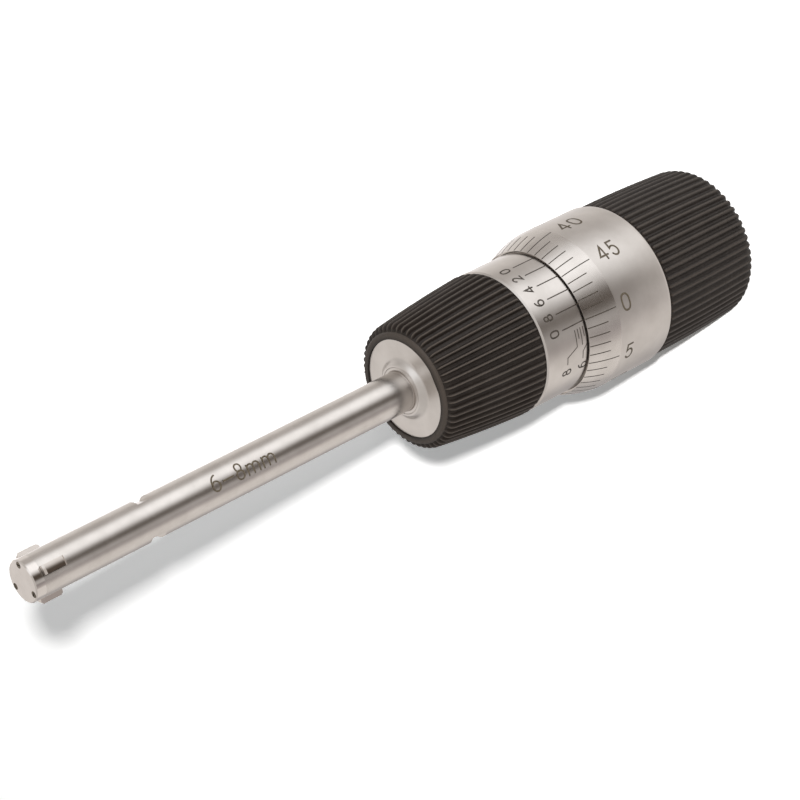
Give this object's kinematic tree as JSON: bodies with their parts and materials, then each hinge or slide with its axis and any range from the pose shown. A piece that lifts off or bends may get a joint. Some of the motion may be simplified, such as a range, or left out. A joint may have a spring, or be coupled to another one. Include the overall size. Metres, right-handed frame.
{
  "type": "inside micrometer",
  "caption": "Three-point inside micrometer with a slim stem, ribbed black grips, vernier sleeve and thimble, standing upright on the flat end of its ratchet grip.",
  "frame": {"origin": "centre of the flat rear face of the rear grip, on the axis", "axes": "+Z along the axis towards the measuring head; the reading line of the scales faces -Y"},
  "size_m": [0.0234, 0.0234, 0.1173],
  "materials": {
    "satin_chrome": "satin chrome",
    "satin_steel": "satin",
    "hard_metal": "ground",
    "inner_steel": "turned",
    "bronze": "turned",
    "black_plastic": "matte"
  },
  "bodies": {
    "frame": {"head_cap": "satin_steel", "head_cap_screws": "hard_metal", "head_tube": "satin_steel", "front_rod_bush": "bronze", "rear_rod_bush": "bronze", "nose_bush": "satin_steel", "barrel": "satin_steel", "front_grip": "black_plastic", "scale_sleeve": "satin_chrome", "spindle_nut": "bronze", "adjusting_nut": "inner_steel"},
    "carriage": {"cone": "inner_steel", "push_rod": "inner_steel", "spring_collar": "inner_steel", "thrust_ball": "inner_steel", "return_spring": "inner_steel"},
    "anvil_a": {"anvil_1": "hard_metal"},
    "anvil_b": {"anvil_2": "hard_metal"},
    "anvil_c": {"anvil_3": "hard_metal"},
    "screw": {"spindle": "inner_steel", "thimble": "satin_chrome", "thimble_nut": "inner_steel", "ratchet_driver": "inner_steel", "ratchet_screw": "inner_steel", "thrust_washer": "inner_steel"},
    "ratchet": {"rear_grip": "black_plastic", "ratchet_ring": "inner_steel", "ratchet_springs": "inner_steel", "end_cap": "black_plastic"}
  },
  "joints": [
    {"name": "thimble_turn", "type": "hinge", "parent": "carriage", "child": "screw", "pos_m": [0, 0, 0.03335], "axis": [0, 0, 1], "range_deg": [-792, 648]},
    {"name": "carriage_slide", "type": "slide", "parent": "frame", "child": "carriage", "axis": [0, 0, 1], "range_m": [-0.0011, 0.0009], "deforming": ["return_spring"]},
    {"name": "anvil_a_slide", "type": "slide", "parent": "frame", "child": "anvil_a", "axis": [0.6884, 0.7254, 0], "range_m": [-0.00055, 0.00045]},
    {"name": "anvil_b_slide", "type": "slide", "parent": "frame", "child": "anvil_b", "axis": [-0.9724, 0.2334, 0], "range_m": [-0.00055, 0.00045]},
    {"name": "anvil_c_slide", "type": "slide", "parent": "frame", "child": "anvil_c", "axis": [0.284, -0.9588, 0], "range_m": [-0.00055, 0.00045]},
    {"name": "grip_turn", "type": "hinge", "parent": "screw", "child": "ratchet", "pos_m": [0, 0, 0.01], "axis": [0, 0, 1], "continuous": true}
  ],
  "couplings": [
    {"joint": "thimble_turn", "follows": "carriage_slide", "rad_per_m": 12566},
    {"joint": "anvil_a_slide", "follows": "carriage_slide", "ratio": 0.5},
    {"joint": "anvil_b_slide", "follows": "carriage_slide", "ratio": 0.5},
    {"joint": "anvil_c_slide", "follows": "carriage_slide", "ratio": 0.5}
  ]
}
